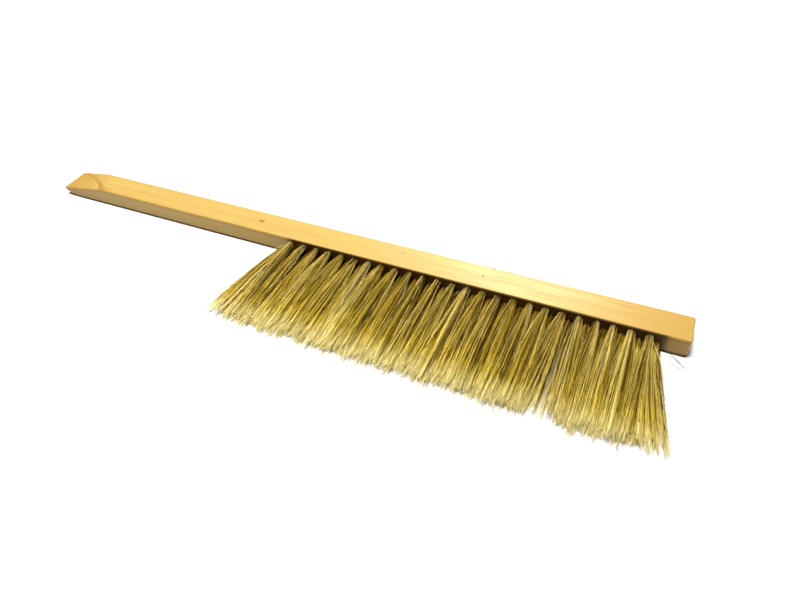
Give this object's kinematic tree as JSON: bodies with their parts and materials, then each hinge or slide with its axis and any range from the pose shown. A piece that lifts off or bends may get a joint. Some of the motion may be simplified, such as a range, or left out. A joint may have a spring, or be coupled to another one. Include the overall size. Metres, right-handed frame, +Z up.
{
  "type": "bee brush",
  "caption": "Wooden bee brush: a flat straight stock with a wedge cut on its handle end and two staggered rows of long soft tufts along one narrow face.",
  "frame": {"origin": "bottom centre of the box round the whole brush, which lies flat on a broad face of the stock", "axes": "+X along the stock from the handle to the brush end, the tufts point along -Y, +Z up"},
  "size_m": [0.431, 0.09, 0.0115],
  "materials": {
    "wood": "plain sanded pale wood, not lacquered",
    "bristle": "blond hair with a soft sheen, paler at the tips"
  },
  "bodies": {
    "root": {"stock": "wood", "upper_tuft_01": "bristle", "upper_tuft_02": "bristle", "upper_tuft_03": "bristle", "upper_tuft_04": "bristle", "upper_tuft_05": "bristle", "upper_tuft_06": "bristle", "upper_tuft_07": "bristle", "upper_tuft_08": "bristle", "upper_tuft_09": "bristle", "upper_tuft_10": "bristle", "upper_tuft_11": "bristle", "upper_tuft_12": "bristle", "upper_tuft_13": "bristle", "upper_tuft_14": "bristle", "upper_tuft_15": "bristle", "upper_tuft_16": "bristle", "upper_tuft_17": "bristle", "upper_tuft_18": "bristle", "upper_tuft_19": "bristle", "upper_tuft_20": "bristle", "upper_tuft_21": "bristle", "upper_tuft_22": "bristle", "upper_tuft_23": "bristle", "upper_tuft_24": "bristle", "upper_tuft_25": "bristle", "lower_tuft_01": "bristle", "lower_tuft_02": "bristle", "lower_tuft_03": "bristle", "lower_tuft_04": "bristle", "lower_tuft_05": "bristle", "lower_tuft_06": "bristle", "lower_tuft_07": "bristle", "lower_tuft_08": "bristle", "lower_tuft_09": "bristle", "lower_tuft_10": "bristle", "lower_tuft_11": "bristle", "lower_tuft_12": "bristle", "lower_tuft_13": "bristle", "lower_tuft_14": "bristle", "lower_tuft_15": "bristle", "lower_tuft_16": "bristle", "lower_tuft_17": "bristle", "lower_tuft_18": "bristle", "lower_tuft_19": "bristle", "lower_tuft_20": "bristle", "lower_tuft_21": "bristle", "lower_tuft_22": "bristle", "lower_tuft_23": "bristle", "lower_tuft_24": "bristle", "lower_tuft_25": "bristle"}
  },
  "joints": []
}
